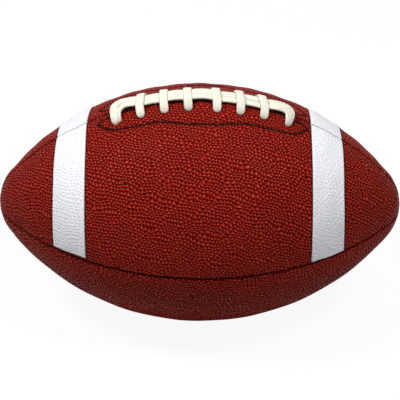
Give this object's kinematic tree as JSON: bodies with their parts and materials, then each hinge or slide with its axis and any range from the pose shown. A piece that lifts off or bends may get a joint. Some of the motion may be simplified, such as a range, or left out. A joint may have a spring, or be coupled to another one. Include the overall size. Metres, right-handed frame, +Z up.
{
  "type": "american football",
  "caption": "American football: sewn leather panels over an inflatable bladder, closed by a raised lace, with white end stripes, contrast stitching and a needle valve.",
  "frame": {"origin": "lowest point of the belly, straight below the ball's centre", "axes": "+X along the long axis, +Z up through the lace seam, -Y out of the front seam"},
  "size_m": [0.2848, 0.1692, 0.1763],
  "materials": {
    "panel_leather": "pebbled",
    "stripe_leather": "pebbled",
    "lace_leather": "smooth",
    "facing_leather": "suede",
    "dark_thread": "twisted thread",
    "seam_thread": "twisted thread",
    "lining_cloth": "woven",
    "tongue_cloth": "coated",
    "bladder_rubber": "smooth",
    "valve_rubber": "smooth"
  },
  "bodies": {
    "root": {"bladder": "bladder_rubber", "facing_stitching_front": "dark_thread", "facing_stitching_rear": "dark_thread", "lace": "lace_leather", "lace_facing_front": "facing_leather", "lace_facing_rear": "facing_leather", "lining_front_lower": "lining_cloth", "lining_front_upper": "lining_cloth", "lining_rear_lower": "lining_cloth", "lining_rear_upper": "lining_cloth", "panel_front_lower": "panel_leather", "panel_front_upper": "panel_leather", "panel_rear_lower": "panel_leather", "panel_rear_upper": "panel_leather", "seam_stitching_bottom": "seam_thread", "seam_stitching_front": "seam_thread", "seam_stitching_lace": "seam_thread", "seam_stitching_rear": "seam_thread", "stripe_left_front": "stripe_leather", "stripe_left_rear": "stripe_leather", "stripe_right_front": "stripe_leather", "stripe_right_rear": "stripe_leather", "stripe_stitching_left_front": "dark_thread", "stripe_stitching_left_rear": "dark_thread", "stripe_stitching_right_front": "dark_thread", "stripe_stitching_right_rear": "dark_thread", "tongue": "tongue_cloth", "valve_housing": "valve_rubber", "valve_plug": "valve_rubber"}
  },
  "joints": []
}
